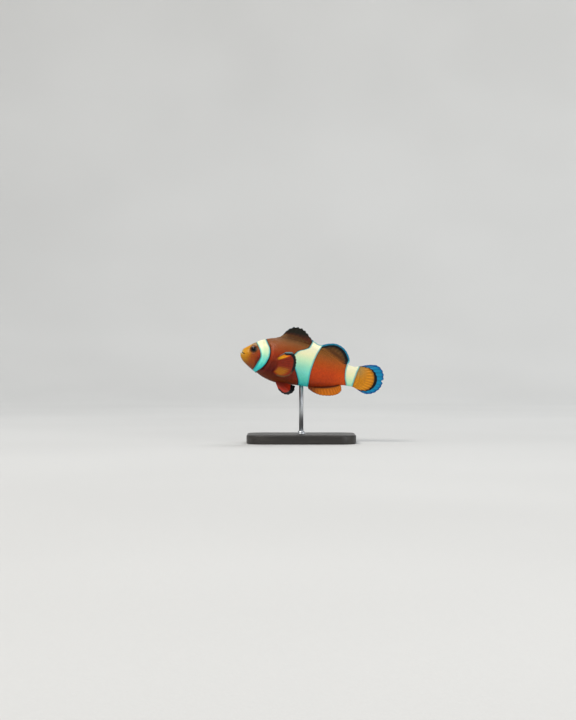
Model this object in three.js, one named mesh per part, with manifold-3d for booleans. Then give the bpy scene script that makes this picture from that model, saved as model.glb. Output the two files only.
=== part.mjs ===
// A life-size ocellaris clownfish on a plain display stand, in millimetres, +Z up.
// The fish is modelled in its own frame: x runs from the snout to the tail, z up, and its left side faces -y.
// That frame is then pitched nose up and held over the stand, whose foot is the part's origin.
import * as THREE from "three";
import { mergeVertices } from "three/addons/utils/BufferGeometryUtils.js";
import Module from "manifold-3d";

const wasm = await Module();
wasm.setup();

// ---- Driving dimensions ----
const PITCH = THREE.MathUtils.degToRad(12); // nose-up angle of the body
const SNOUT = { x: -33.6, z: 50 }; // where the snout is, from the stand's foot
const GAP = 0.3; // clearance between neighbouring pieces
const SWAY = { start: 28, length: 52, reach: 3 }; // the tail swings to the fish's left

// The body's outline at stations along it: x, back, belly, half width.
const STATIONS = [
  [0, 0, -0.2, 0],
  [0.15, 1.0, -1.4, 1.0],
  [0.9, 2.2, -2.9, 1.9],
  [2.4, 3.7, -4.5, 2.8],
  [4.6, 5.4, -6.0, 3.7],
  [7, 7.3, -7.4, 4.5],
  [9.5, 9.0, -8.7, 5.2],
  [12, 10.2, -9.7, 5.7],
  [16, 11.7, -11.1, 6.2],
  [21, 12.8, -12.1, 6.5],
  [27, 13.3, -12.2, 6.3],
  [34, 12.8, -11.3, 5.6],
  [41, 11.6, -10.8, 4.6],
  [48, 9.6, -9.4, 3.6],
  [54, 7.4, -7.5, 2.6],
  [59, 5.9, -6.0, 1.9],
  [63, 5.4, -5.7, 1.4],
  [66, 5.1, -5.3, 0.9],
  [67.5, 4, -4, 0.5],
  [68, 0, 0, 0],
];
const BACK_SHARPNESS = 1.15; // above 1, the section narrows towards the back
const BODY_RINGS = 36;
const BODY_SIDES = 24;

const EYE = { x: 7.0, z: 3.35, radius: 2.45, depth: 1.3, sunk: 0.55 };
const GILL_COVER = { top: 7, bottom: -6.9, thickness: 1.2, rings: 20, sides: 12 };

// Where the body and the back fin are parted, drawn in side view.
const GILL_EDGE = [[11.4, 14], [13.6, 9.6], [15.6, 6.2], [16.3, 2], [15.7, -2], [14, -6], [11.4, -8.7], [7, -12]];
const CHEEK_EDGE = [[9.2, 7], [10.6, 4], [11.2, 0.4], [10.8, -3], [9.8, -5.6], [9.2, -6.9]];
const MOUTH_EDGE = [[-2, 0.2], [0.8, 0.1], [2.3, -0.3], [3.3, -1.4], [3.7, -3.2], [3.5, -8]];
const TAIL_EDGE = [[58.6, 9], [58.7, 2], [59.4, -3], [61, -9]];
const BACK_FIN_EDGE = [[40.6, 8], [41.6, 11.4], [43.4, 17]];
const BACK_OF_GILL_COVERS = 20; // an x behind all of the gill edge

// The fins' rays, each from where it starts to its tip.
const SUNK = 1.2; // how deep a ray starts inside the body, before the fin is cut back to the skin
const FIN_EDGE = 0.5; // a fin's thickness at its rim
const FIN_RIDGE = 0.12; // how much thicker it is along each ray

// The back and belly fins start on the body's outline: start x, tip x, tip z.
const BACK_RAYS = [
  [14, 15.4, 11.9],
  [17.5, 20.4, 13.8],
  [20.5, 23.0, 16.6],
  [23.5, 26.2, 19.4],
  [27, 30.0, 19.9],
  [30.5, 33.3, 18.5],
  [34, 36.3, 16.1],
  [37.5, 39.3, 14.2],
  [40.5, 42.6, 13.3],
  [43.5, 46.6, 14.6],
  [46.5, 50.6, 15.3],
  [49.5, 54.4, 14.4],
  [52, 57.3, 12.4],
  [54, 59.4, 9.8],
  [55.8, 60.1, 7.8],
  [57.2, 59.8, 6.4],
];
const BACK_SPINES = 0.52; // the share of the back fin, from its front, that spines hold up
const BELLY_RAYS = [
  [40, 40.8, -11.8],
  [42.5, 44.0, -13.2],
  [45.5, 47.8, -13.9],
  [48.5, 51.4, -13.6],
  [51.5, 55.0, -12.7],
  [54, 57.6, -11.2],
  [56, 58.9, -9.2],
  [57.5, 58.6, -7.4],
];
// The tail fin: start x, start z, tip x, tip z.
const TAIL_RAYS = [
  [63.6, 5.0, 67.0, 6.4],
  [65.0, 4.5, 71.4, 8.2],
  [65.6, 3.5, 75.6, 8.6],
  [66.0, 2.2, 78.8, 6.5],
  [66.2, 0.8, 80.3, 2.8],
  [66.2, -0.7, 80.2, -1.2],
  [66.0, -2.1, 79.0, -4.2],
  [65.6, -3.4, 76.0, -7.0],
  [65.0, -4.5, 71.8, -8.0],
  [63.6, -5.0, 67.0, -6.4],
];
// The left breast fin, spread to the side: start x, start z, tip x, tip y, tip z.
const BREAST_RAYS = [
  [19.4, 0.8, 24.6, -12.0, 4.9],
  [19.8, 0.0, 28.2, -14.6, 5.4],
  [20.0, -1.1, 30.6, -16.0, 3.0],
  [20.1, -2.3, 31.4, -16.5, -0.6],
  [20.0, -3.5, 30.8, -16.0, -4.0],
  [19.8, -4.6, 28.8, -14.6, -6.9],
  [19.5, -5.6, 25.6, -12.2, -8.3],
  [19.2, -6.4, 22.4, -9.4, -8.2],
];
// The left belly fin, rooted side by side with the other: start x, tip x, tip y, tip z.
const PELVIC_RAYS = [
  [21.6, 25.0, -3.6, -15.9],
  [22.4, 27.8, -4.6, -17.3],
  [23.2, 30.8, -5.2, -17.2],
  [24.0, 33.2, -5.2, -15.0],
  [24.8, 33.5, -4.2, -11.9],
];
const PELVIC_SIDE = 1.9; // the belly fins' distance from the middle, at their roots

const STAND = { length: 60, width: 40, height: 5, corner: 9, bevel: 0.8 };
const ROD = { radius: 1.2, socket: 3, top: 37, sides: 20 };

// ---- Materials ----
const paint = (color, roughness, metalness = 0) =>
  new THREE.MeshStandardMaterial({ color, roughness, metalness });
const MATERIALS = {
  skin: paint(0xd4601a, 0.45),
  face: paint(0xdc9a1c, 0.45),
  fin: paint(0xd8661c, 0.5),
  eye: paint(0x1a1210, 0.08),
  base: paint(0x2c2a28, 0.5),
  rod: paint(0xa8a9ab, 0.3, 1),
};

// ---- Small helpers ----
const { clamp, lerp } = THREE.MathUtils;
const vec = (x, y, z) => new THREE.Vector3(x, y, z);
const curveThrough = (points) => new THREE.CatmullRomCurve3(points, false, "catmullrom");
const sideView = (points) => points.map(([x, z]) => new THREE.Vector2(x, z));

// A closed mesh as a solid that can be cut and joined, with its faces turned outwards.
function solidFrom(geometry) {
  const bare = geometry.clone();
  bare.deleteAttribute("normal");
  bare.deleteAttribute("uv");
  const merged = mergeVertices(bare, 1e-4);
  const vertProperties = new Float32Array(merged.attributes.position.array);
  const triVerts = new Uint32Array(merged.index.array);
  const solid = new wasm.Manifold(new wasm.Mesh({ numProp: 3, vertProperties, triVerts }));
  if (solid.volume() > 0) return solid;
  triVerts.reverse();
  return new wasm.Manifold(new wasm.Mesh({ numProp: 3, vertProperties, triVerts }));
}

// A solid as a named mesh.
function meshFrom(name, solid, material) {
  const { numVert, vertProperties, triVerts } = solid.getMesh();
  const positions = new Float32Array(vertProperties.subarray(0, numVert * 3));
  const geometry = new THREE.BufferGeometry();
  geometry.setAttribute("position", new THREE.BufferAttribute(positions, 3));
  geometry.setIndex(new THREE.BufferAttribute(triVerts, 1));
  geometry.computeVertexNormals();
  const mesh = new THREE.Mesh(geometry, material);
  mesh.name = name;
  return mesh;
}

// Moves every vertex of a geometry to the point that place() gives for it.
function reshape(geometry, place) {
  const { position, uv } = geometry.attributes;
  for (let i = 0; i < position.count; i++) {
    const p = place(vec().fromBufferAttribute(position, i), uv.getX(i), uv.getY(i));
    position.setXYZ(i, p.x, p.y, p.z);
  }
  return geometry;
}

// The sideways swing of the swimming tail.
function swayed(p) {
  const share = Math.max(0, (p.x - SWAY.start) / SWAY.length);
  return vec(p.x, p.y - SWAY.reach * share ** 2, p.z);
}

const mirrored = (solid) => solid.mirror([0, 1, 0]);

// ---- The body ----
const outline = curveThrough(STATIONS.map(([x, back, belly]) => vec(x, back, belly)));
const widths = curveThrough(STATIONS.map(([x, , , half]) => vec(x, half, 0)));

// A point of the body's surface, a share from snout to tail and an angle that is a quarter turn at the back.
// The body is larger or smaller all round by grow.
function bodyPoint(share, angle, grow = 0) {
  const { x, y: back, z: belly } = outline.getPoint(share);
  const half = Math.max(0, widths.getPoint(share).y);
  const atEnd = share === 0 || share === 1;
  const rise = atEnd ? 0 : Math.sin(angle);
  const side = atEnd ? 0 : Math.cos(angle);
  const roundness = rise > 0 ? BACK_SHARPNESS : 1;
  return vec(
    x + lerp(-grow, grow, share),
    Math.sign(side) * Math.abs(side) ** roundness * (half + grow),
    (back + belly) / 2 + rise * ((back - belly) / 2 + grow),
  );
}

function bodySolid(grow = 0, rings = BODY_RINGS, sides = BODY_SIDES) {
  const ball = new THREE.SphereGeometry(1, sides, rings);
  const placed = reshape(ball, (_, u, v) => {
    const side = Math.round(u * sides) % sides;
    const ring = Math.round((1 - v) * rings);
    return swayed(bodyPoint(ring / rings, (side / sides) * 2 * Math.PI, grow));
  });
  return solidFrom(placed);
}

// The share from snout to tail at which the outline reaches x.
function shareAt(x) {
  let low = 0;
  let high = 1;
  while (high - low > 1e-6) {
    const middle = (low + high) / 2;
    if (outline.getPoint(middle).x < x) low = middle;
    else high = middle;
  }
  return low;
}
const backAt = (x) => outline.getPoint(shareAt(x)).y;
const bellyAt = (x) => outline.getPoint(shareAt(x)).z;

// The point of the left flank at x and z, and the way that the skin faces there.
function flankAt(x, z) {
  const at = (share, height) => {
    const { y: back, z: belly } = outline.getPoint(share);
    const rise = clamp((height - (back + belly) / 2) / ((back - belly) / 2), -1, 1);
    const p = bodyPoint(share, Math.asin(rise));
    return vec(p.x, -p.y, p.z);
  };
  const share = shareAt(x);
  const tailward = at(share + 0.01, z).sub(at(share - 0.01, z));
  const upward = at(share, z + 0.2).sub(at(share, z - 0.2));
  return { point: at(share, z), facing: tailward.cross(upward).normalize() };
}

// A flat shape drawn in side view, run right through the fish.
function prism(points) {
  const reach = 20;
  const shape = new THREE.Shape(points);
  const geometry = new THREE.ExtrudeGeometry(shape, { depth: 2 * reach, bevelEnabled: false });
  geometry.rotateX(Math.PI / 2);
  geometry.translate(0, reach, 0);
  return solidFrom(geometry);
}

// A thin upright wall along a curve in side view, for parting pieces by the gap.
function wall(edge) {
  const line = new THREE.SplineCurve(sideView(edge)).getSpacedPoints(14);
  const offset = (distance) =>
    line.map((p, i) => {
      const before = line[Math.max(0, i - 1)];
      const after = line[Math.min(line.length - 1, i + 1)];
      const along = after.clone().sub(before).normalize();
      return new THREE.Vector2(p.x - along.y * distance, p.y + along.x * distance);
    });
  return prism([...offset(GAP / 2), ...offset(-GAP / 2).reverse()]);
}

// The pieces that a solid falls into, without crumbs, in the order that key() gives.
function piecesOf(solid, key) {
  const crumb = 1;
  return solid
    .decompose()
    .filter((piece) => piece.volume() > crumb)
    .sort((a, b) => key(a) - key(b));
}
const foremost = (piece) => piece.boundingBox().min[0];
const leftmost = (piece) => piece.boundingBox().min[1];
const largest = (piece) => -piece.volume();

// ---- The head ----
// The gill covers are plates let into the head's sides, from the cheek to the head's rear edge.
function gillCovers(wholeHead) {
  const { top, bottom, thickness, rings, sides } = GILL_COVER;
  const cheek = new THREE.SplineCurve(sideView(CHEEK_EDGE)).getSpacedPoints(14);
  const corners = sideView([[BACK_OF_GILL_COVERS, bottom], [BACK_OF_GILL_COVERS, top]]);
  const region = prism([...cheek, ...corners]);
  const level = (z) => wall([[CHEEK_EDGE[0][0], z], [BACK_OF_GILL_COVERS, z]]);
  const seams = wall(CHEEK_EDGE).add(level(top)).add(level(bottom));
  const plates = wholeHead.intersect(region).subtract(seams).subtract(bodySolid(-thickness, rings, sides));
  const recess = region.add(seams).subtract(bodySolid(-thickness - GAP, rings, sides));
  return { plates: piecesOf(plates, leftmost), recess };
}

// An eye's place on the left side: it faces halfway between straight out and the way that the skin faces.
function eyePose() {
  const outward = vec(0, -1, 0);
  const { point, facing } = flankAt(EYE.x, EYE.z);
  facing.add(outward).normalize();
  return {
    centre: point.addScaledVector(facing, -EYE.sunk),
    turn: new THREE.Quaternion().setFromUnitVectors(outward, facing),
  };
}

function eyeGeometry(grow = 0) {
  const ball = new THREE.SphereGeometry(1, 18, 10);
  return ball.scale(EYE.radius + grow, EYE.depth + grow, EYE.radius + grow);
}

// ---- The fins ----
// A fin is a fan: from and to hold where some of its rays start and end, and the rest lie smoothly between them.
// It is thickest at its root, ridged along each ray, and cut in a little between the rays' tips.
function finSolid({ from, to, rayCount, rows, root, notch, bow = 0 }) {
  const starts = curveThrough(from);
  const tips = curveThrough(to);
  const across = rayCount * 2;
  const betweenRays = (u) => Math.sin(Math.PI * rayCount * u) ** 2;
  const surface = (u, v) => {
    const out = v * (1 - notch(u) * betweenRays(u));
    const p = starts.getPoint(u).lerp(tips.getPoint(u), out);
    p.y -= bow * Math.sin(Math.PI * u) * out ** 2;
    return p;
  };
  const facing = (u, v) => {
    const step = 0.01;
    const along = surface(u + step, v).sub(surface(u - step, v));
    const outward = surface(u, v + step).sub(surface(u, v - step));
    return along.cross(outward).normalize();
  };
  const box = new THREE.BoxGeometry(1, 1, 1, across, rows, 1);
  const placed = reshape(box, (p) => {
    const u = Math.round((p.x + 0.5) * across) / across;
    const v = Math.round((p.y + 0.5) * rows) / rows;
    const ridge = FIN_RIDGE * (1 - betweenRays(u)) * (1 - v / 2);
    const thickness = lerp(root, FIN_EDGE, Math.sqrt(v)) + ridge;
    const way = facing(clamp(u, 0.02, 0.98), clamp(v, 0.05, 0.95));
    return swayed(surface(u, v).addScaledVector(way, (Math.sign(p.z) * thickness) / 2));
  });
  return solidFrom(placed);
}

function backFin() {
  return finSolid({
    from: BACK_RAYS.map(([x]) => vec(x, 0, backAt(x) - SUNK)),
    to: BACK_RAYS.map(([, x, z]) => vec(x, 0, z)),
    rayCount: 25,
    rows: 3,
    root: 1.7,
    notch: (u) => (u < BACK_SPINES ? 0.12 : 0.03),
  });
}

function bellyFin() {
  return finSolid({
    from: BELLY_RAYS.map(([x]) => vec(x, 0, bellyAt(x) + SUNK)),
    to: BELLY_RAYS.map(([, x, z]) => vec(x, 0, z)),
    rayCount: 14,
    rows: 3,
    root: 1.5,
    notch: () => 0.03,
  });
}

function tailFin() {
  return finSolid({
    from: TAIL_RAYS.map(([x, z]) => vec(x, 0, z)),
    to: TAIL_RAYS.map(([, , x, z]) => vec(x, 0, z)),
    rayCount: 15,
    rows: 3,
    root: 1.7,
    notch: () => 0.02,
  });
}

function breastFin() {
  return finSolid({
    from: BREAST_RAYS.map(([x, z]) => flankAt(x, z).point.add(vec(0, SUNK, 0))),
    to: BREAST_RAYS.map(([, , x, y, z]) => vec(x, y, z)),
    rayCount: 16,
    rows: 3,
    root: 1.5,
    notch: () => 0.02,
    bow: 1.2,
  });
}

function pelvicFin() {
  return finSolid({
    from: PELVIC_RAYS.map(([x]) => vec(x, -PELVIC_SIDE, bellyAt(x) + SUNK)),
    to: PELVIC_RAYS.map(([, x, y, z]) => vec(x, y, z)),
    rayCount: 6,
    rows: 4,
    root: 1.1,
    notch: () => 0.05,
    bow: 0.6,
  });
}

// ---- The stand ----
function rodSolid(grow = 0) {
  const bottom = STAND.height - ROD.socket - grow;
  const length = ROD.top + grow - bottom;
  const geometry = new THREE.CylinderGeometry(ROD.radius + grow, ROD.radius + grow, length, ROD.sides);
  geometry.rotateX(Math.PI / 2);
  geometry.translate(0, 0, bottom + length / 2);
  return solidFrom(geometry);
}

function standBase() {
  const { length, width, height, corner, bevel } = STAND;
  const x = length / 2 - bevel - corner;
  const y = width / 2 - bevel - corner;
  const plate = new THREE.Shape();
  plate.absarc(x, y, corner, 0, Math.PI / 2);
  plate.absarc(-x, y, corner, Math.PI / 2, Math.PI);
  plate.absarc(-x, -y, corner, Math.PI, 1.5 * Math.PI);
  plate.absarc(x, -y, corner, 1.5 * Math.PI, 2 * Math.PI);
  const geometry = new THREE.ExtrudeGeometry(plate, {
    depth: height - 2 * bevel,
    bevelThickness: bevel,
    bevelSize: bevel,
    bevelSegments: 1,
    curveSegments: 6,
  });
  geometry.translate(0, 0, bevel);
  return solidFrom(geometry).subtract(rodSolid(GAP));
}

// ---- The fish ----
const fish = new THREE.Group();
fish.position.set(SNOUT.x, 0, SNOUT.z);
fish.rotation.y = PITCH;
fish.updateMatrixWorld(true);

function addToFish(name, solid, material) {
  fish.add(meshFrom(name, solid, material));
}

const parted = bodySolid().subtract(wall(GILL_EDGE)).subtract(wall(TAIL_EDGE));
const [wholeHead, trunk, tailStalk] = piecesOf(parted, foremost);

const { plates, recess } = gillCovers(wholeHead);
const { centre, turn } = eyePose();
const socket = solidFrom(eyeGeometry(GAP).applyQuaternion(turn).translate(centre.x, centre.y, centre.z));
const opened = wholeHead.subtract(recess).subtract(socket).subtract(mirrored(socket));
const [skull, lowerJaw] = piecesOf(opened.subtract(wall(MOUTH_EDGE)), largest);
addToFish("head", skull, MATERIALS.face);
addToFish("lower_jaw", lowerJaw, MATERIALS.face);
addToFish("gill_cover_left", plates[0], MATERIALS.skin);
addToFish("gill_cover_right", plates[1], MATERIALS.skin);

for (const [name, side] of [["eye_left", 1], ["eye_right", -1]]) {
  const eye = new THREE.Mesh(eyeGeometry(), MATERIALS.eye);
  eye.name = name;
  eye.position.set(centre.x, side * centre.y, centre.z);
  eye.quaternion.set(side * turn.x, turn.y, side * turn.z, turn.w);
  fish.add(eye);
}

const rodHole = rodSolid(GAP).transform(fish.matrixWorld.clone().invert().elements);
addToFish("trunk", trunk.subtract(rodHole), MATERIALS.skin);
addToFish("tail_stalk", tailStalk, MATERIALS.skin);

const clearOfBody = bodySolid(GAP);
const outsideBody = (solid) => piecesOf(solid.subtract(clearOfBody), largest)[0];
const [spinyPart, softPart] = piecesOf(outsideBody(backFin()).subtract(wall(BACK_FIN_EDGE)), foremost);
addToFish("dorsal_fin_spiny", spinyPart, MATERIALS.fin);
addToFish("dorsal_fin_soft", softPart, MATERIALS.fin);
addToFish("anal_fin", outsideBody(bellyFin()), MATERIALS.fin);
addToFish("caudal_fin", outsideBody(tailFin()), MATERIALS.fin);

const breast = outsideBody(breastFin());
const pelvic = outsideBody(pelvicFin());
addToFish("pectoral_fin_left", breast, MATERIALS.fin);
addToFish("pectoral_fin_right", mirrored(breast), MATERIALS.fin);
addToFish("pelvic_fin_left", pelvic, MATERIALS.fin);
addToFish("pelvic_fin_right", mirrored(pelvic), MATERIALS.fin);

// ---- The whole part ----
const part = new THREE.Group();
part.add(fish);
part.add(meshFrom("stand_base", standBase(), MATERIALS.base));
part.add(meshFrom("stand_rod", rodSolid(), MATERIALS.rod));

export default part;
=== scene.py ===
import math
from types import SimpleNamespace

import bmesh
import bpy
import numpy as np
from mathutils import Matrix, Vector


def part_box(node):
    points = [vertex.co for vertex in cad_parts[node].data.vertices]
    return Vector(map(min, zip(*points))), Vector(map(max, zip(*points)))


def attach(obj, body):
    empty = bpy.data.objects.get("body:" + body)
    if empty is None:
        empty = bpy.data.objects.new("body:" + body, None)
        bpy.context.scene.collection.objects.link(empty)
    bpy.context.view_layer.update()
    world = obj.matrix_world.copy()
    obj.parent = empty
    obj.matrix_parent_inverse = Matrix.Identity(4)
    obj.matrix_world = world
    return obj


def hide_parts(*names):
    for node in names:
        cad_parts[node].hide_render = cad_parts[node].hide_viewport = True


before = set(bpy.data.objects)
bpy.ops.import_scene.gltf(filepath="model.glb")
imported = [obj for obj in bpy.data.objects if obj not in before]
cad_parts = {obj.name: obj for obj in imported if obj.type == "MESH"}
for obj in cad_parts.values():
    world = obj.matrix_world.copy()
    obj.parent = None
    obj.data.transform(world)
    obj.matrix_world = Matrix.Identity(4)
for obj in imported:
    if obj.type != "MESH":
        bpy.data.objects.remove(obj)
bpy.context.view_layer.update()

MM = 0.001

# ---- Camera ----
# A long lens held level at the fish's height, square to its left side. It stands so far off that the whole
# fish covers only a quarter of the picture's width.
LENS = 85
SENSOR = 36  # the film's longer side, upright here
VIEW_HEIGHT = 398.4 * MM  # what the picture's height takes in, at the fish
EYE_LINE = Vector((-7.3, 0, 45.85)) * MM  # the point in the picture's middle

camera = bpy.data.objects.new("camera", bpy.data.cameras.new("camera"))
camera.data.lens = LENS
camera.data.sensor_width = SENSOR
camera.data.clip_start = 0.01
camera.location = EYE_LINE + Vector((0, -VIEW_HEIGHT * LENS / SENSOR, 0))
camera.rotation_euler = (math.radians(90), 0, 0)
bpy.context.scene.collection.objects.link(camera)
bpy.context.scene.camera = camera
bpy.context.scene.view_settings.view_transform = "Standard"

# ---- Floor and backdrop ----
# A round studio cove of pale card, flat under the stand and swept up all round in a wide curve, so that no
# line shows between floor and wall. The stand lies near its back.
COVE_FLAT = 2.4
COVE_CURVE = 0.8
COVE_TOP = 1.6
COVE_STEPS = 20
COVE_BACK = 0.9  # from the stand to where the curve begins behind it
COVE_MIDDLE = (0, COVE_BACK - COVE_FLAT)


def colour(code):
    """A six-digit web colour as the linear colour that shaders work in."""
    parts = [int(code[i : i + 2], 16) / 255 for i in (0, 2, 4)]
    return (*[p / 12.92 if p < 0.04045 else ((p + 0.055) / 1.055) ** 2.4 for p in parts], 1)


class Shade:
    """A node's output. Arithmetic on it adds Math nodes, and new() adds any other node to its material."""

    def __init__(self, socket):
        self.socket = socket

    def new(self, kind, settings=None, inputs=None, output=0):
        """Adds a node, sets it up, gives its sockets their values or links, and returns one output."""
        tree = self.socket.id_data
        node = tree.nodes.new("ShaderNode" + kind)
        for name, value in (settings or {}).items():
            if name == "stops":
                stops = node.color_ramp.elements
                while len(stops) < len(value):
                    stops.new(0.5)
                for stop, (place, tint) in zip(stops, value):
                    stop.position = place
                    stop.color = tint
            elif name == "bends":
                bends = node.mapping.curves[0].points
                for place in value[1:-1]:
                    bends.new(*place)
                bends[0].location = value[0]
                bends[-1].location = value[-1]
                node.mapping.update()
            else:
                setattr(node, name, value)
        for key, value in (inputs or {}).items():
            if isinstance(value, Shade):
                tree.links.new(value.socket, node.inputs[key])
            else:
                node.inputs[key].default_value = value
        return Shade(node.outputs[output])

    def other(self, output):
        return Shade(self.socket.node.outputs[output])

    def maths(self, operation, *values, clamp=False):
        return self.new("Math", {"operation": operation, "use_clamp": clamp}, dict(enumerate(values)))

    def __add__(self, value):
        return self.maths("ADD", self, value)

    def __sub__(self, value):
        return self.maths("SUBTRACT", self, value)

    def __rsub__(self, value):
        return self.maths("SUBTRACT", value, self)

    def __mul__(self, value):
        return self.maths("MULTIPLY", self, value)

    def __truediv__(self, value):
        return self.maths("DIVIDE", self, value)

    __radd__ = __add__
    __rmul__ = __mul__

    def __abs__(self):
        return self.maths("ABSOLUTE", self)

    def root(self):
        return self.maths("SQRT", self)

    def sine(self):
        return self.maths("SINE", self)

    def least(self, value):
        return self.maths("MINIMUM", self, value)

    def most(self, value):
        return self.maths("MAXIMUM", self, value)

    def rise(self, low, high):
        """0 up to low and 1 from high on, with a smooth slope; it falls where low is the larger."""
        limits = {"Value": self, "From Min": low, "From Max": high}
        return self.new("MapRange", {"interpolation_type": "SMOOTHSTEP"}, limits)

    def mix(self, low, high, blend="MIX"):
        """The colour low where this is 0, and high where it is 1, each a web colour or an output."""
        low, high = (colour(tint) if isinstance(tint, str) else tint for tint in (low, high))
        settings = {"data_type": "RGBA", "blend_type": blend}
        return self.new("Mix", settings, {0: self, 6: low, 7: high}, output=2)

    def noise(self, scale, detail=2.0):
        """Smooth noise from 0 to 1, on this position, with features of 1/scale."""
        return self.new("TexNoise", None, {"Vector": self, "Scale": scale, "Detail": detail})

    def bumps(self, distance, strength=1.0):
        """A surface's normal where this height stands up from it, by up to distance in metres."""
        return self.new("Bump", None, {"Height": self, "Distance": distance, "Strength": strength})


def new_material(name, **constants):
    """A material whose shader has these constants, and the position that its patterns are drawn on."""
    material = bpy.data.materials.new(name)
    material.use_nodes = True
    tree = material.node_tree
    shader = tree.nodes["Principled BSDF"]
    for socket, value in constants.items():
        shader.inputs[socket.replace("_", " ")].default_value = value
    return material, Shade(tree.nodes.new("ShaderNodeTexCoord").outputs["Object"])


def shade(material, **varying):
    """Links what varies over the surface to the material's shader."""
    shader = material.node_tree.nodes["Principled BSDF"]
    for socket, value in varying.items():
        material.node_tree.links.new(value.socket, shader.inputs[socket.replace("_", " ")])


def add_mesh(name, mesh, material):
    """The finished mesh as a smooth object at the origin."""
    mesh.shade_smooth()
    mesh.materials.append(material)
    made = bpy.data.objects.new(name, mesh)
    bpy.context.scene.collection.objects.link(made)
    return made


def add_object(name, bm, material):
    mesh = bpy.data.meshes.new(name)
    bm.to_mesh(mesh)
    bm.free()
    return add_mesh(name, mesh, material)


def turned_mesh(profile, sides, axis):
    """The shape that a profile of (radius, height) sweeps out round an upright axis through (x, y)."""
    bm = bmesh.new()
    corners = [bm.verts.new((axis[0] + radius, axis[1], height)) for radius, height in profile]
    edges = [bm.edges.new(pair) for pair in zip(corners, corners[1:])]
    turn = {"cent": (*axis, 0), "axis": (0, 0, 1), "angle": math.tau, "use_merge": True}
    bmesh.ops.spin(bm, geom=corners + edges, steps=sides, **turn)
    bmesh.ops.remove_doubles(bm, verts=bm.verts, dist=1e-7)
    bmesh.ops.recalc_face_normals(bm, faces=bm.faces)
    return bm


cove_profile = [(0, 0)]
for step in range(COVE_STEPS + 1):
    angle = math.radians(90) * step / COVE_STEPS
    cove_profile.append((COVE_FLAT + COVE_CURVE * math.sin(angle), COVE_CURVE * (1 - math.cos(angle))))
cove_profile.append((COVE_FLAT + COVE_CURVE, COVE_TOP))
card_finish, here = new_material("pale_card", Roughness=0.85)
card_grain = here.noise(900).rise(0.3, 0.7)
shade(
    card_finish,
    Base_Color=here.noise(3).rise(0.3, 0.7).mix("cccac6", "d2d0cc"),
    Normal=card_grain.bumps(0.00003),
)
add_object("cove", turned_mesh(cove_profile, 160, COVE_MIDDLE), card_finish)

# ---- Lights ----
# A large soft lamp high on the left in front, a weaker one on the right, and one from behind that picks out
# the fins' rims. The room itself adds an even, slightly cool light.
LIGHTS = {
    # name: place, width, power in watts, colour
    "key": ((-0.8, -1.1, 1.7), 1.1, 30, (1.0, 0.97, 0.92)),
    "fill": ((1.5, -1.5, 0.6), 1.3, 14, (0.96, 0.98, 1.0)),
    "back": ((0.6, 1.0, 1.6), 0.9, 12, (0.93, 0.97, 1.0)),
}
ROOM_COLOUR = (0.80, 0.88, 1.0, 1)
ROOM_STRENGTH = 0.45

for name, (place, width, power, tint) in LIGHTS.items():
    lamp = bpy.data.lights.new(name, "AREA")
    lamp.shape = "DISK"
    lamp.size = width
    lamp.energy = power
    lamp.color = tint
    light = bpy.data.objects.new(name, lamp)
    light.location = place
    light.rotation_euler = (EYE_LINE - light.location).to_track_quat("-Z", "Y").to_euler()
    bpy.context.scene.collection.objects.link(light)

world = bpy.data.worlds.new("room")
world.use_nodes = True
world.node_tree.nodes["Background"].inputs["Color"].default_value = ROOM_COLOUR
world.node_tree.nodes["Background"].inputs["Strength"].default_value = ROOM_STRENGTH
bpy.context.scene.world = world

# ---- Skin ----
# The whole body from lips to tail stalk is one cast skin, with lips, nostrils, the folds round the eyes and
# the gill covers' free edges raised in it. It is painted in the fish's colours and varnished.
SNOUT = np.array([-33.6, 0.0, 50.0])
PITCH = math.radians(12)
SWAY_START, SWAY_LENGTH = 28, 52  # where the tail's swing to its left begins, and over what length
SWAY_REACH = 3  # and how far it goes
COAT = 0.12  # how far the skin lies below the scales' outer faces
SKIN_RINGS, SKIN_SIDES = 400, 180
STATIONS = [
    # x, back, belly, half width
    (0, 0, -0.2, 0),
    (0.15, 1.0, -1.4, 1.0),
    (0.9, 2.2, -2.9, 1.9),
    (2.4, 3.7, -4.5, 2.8),
    (4.6, 5.4, -6.0, 3.7),
    (7, 7.3, -7.4, 4.5),
    (9.5, 9.0, -8.7, 5.2),
    (12, 10.2, -9.7, 5.7),
    (16, 11.7, -11.1, 6.2),
    (21, 12.8, -12.1, 6.5),
    (27, 13.3, -12.2, 6.3),
    (34, 12.8, -11.3, 5.6),
    (41, 11.6, -10.8, 4.6),
    (48, 9.6, -9.4, 3.6),
    (54, 7.4, -7.5, 2.6),
    (59, 5.9, -6.0, 1.9),
    (63, 5.4, -5.7, 1.4),
    (66, 5.1, -5.3, 0.75),
    (67.5, 4, -4, 0.3),
    (68, 0, 0, 0),
]
BACK_SHARPNESS = 1.15
# These edges, and the bands' below, are lines of (height, distance back from the snout).
GILL_EDGE = [(-12, 7), (-8.7, 11.4), (-6, 14), (-2, 15.7), (2, 16.3), (6.2, 15.6), (9.6, 13.6), (14, 11.4)]
CHEEK_EDGE = [(-8.4, 8.2), (-6.9, 9.2), (-3, 10.8), (0.4, 11.2), (4, 10.6), (7, 9.2), (9, 8)]
NOSTRIL = (3.3, 3.1)
MOUTH_CORNER = 2.7
THROAT_PLEAT = 0.9  # from one fold of the throat to the next


def through(values, share):
    """A smooth (Catmull-Rom) curve through evenly spaced values, at a share from 0 to 1 of its length."""
    values = np.asarray(values, float)
    padded = np.concatenate([[2 * values[0] - values[1]], values, [2 * values[-1] - values[-2]]])
    place = np.clip(share, 0, 1) * (len(values) - 1)
    start = np.minimum(place.astype(int), len(values) - 2)
    f = place - start
    a, b, c, d = (padded[start + k] for k in range(4))
    return b + 0.5 * f * (c - a + f * (2 * a - 5 * b + 4 * c - d + f * (3 * (b - c) + d - a)))


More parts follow.
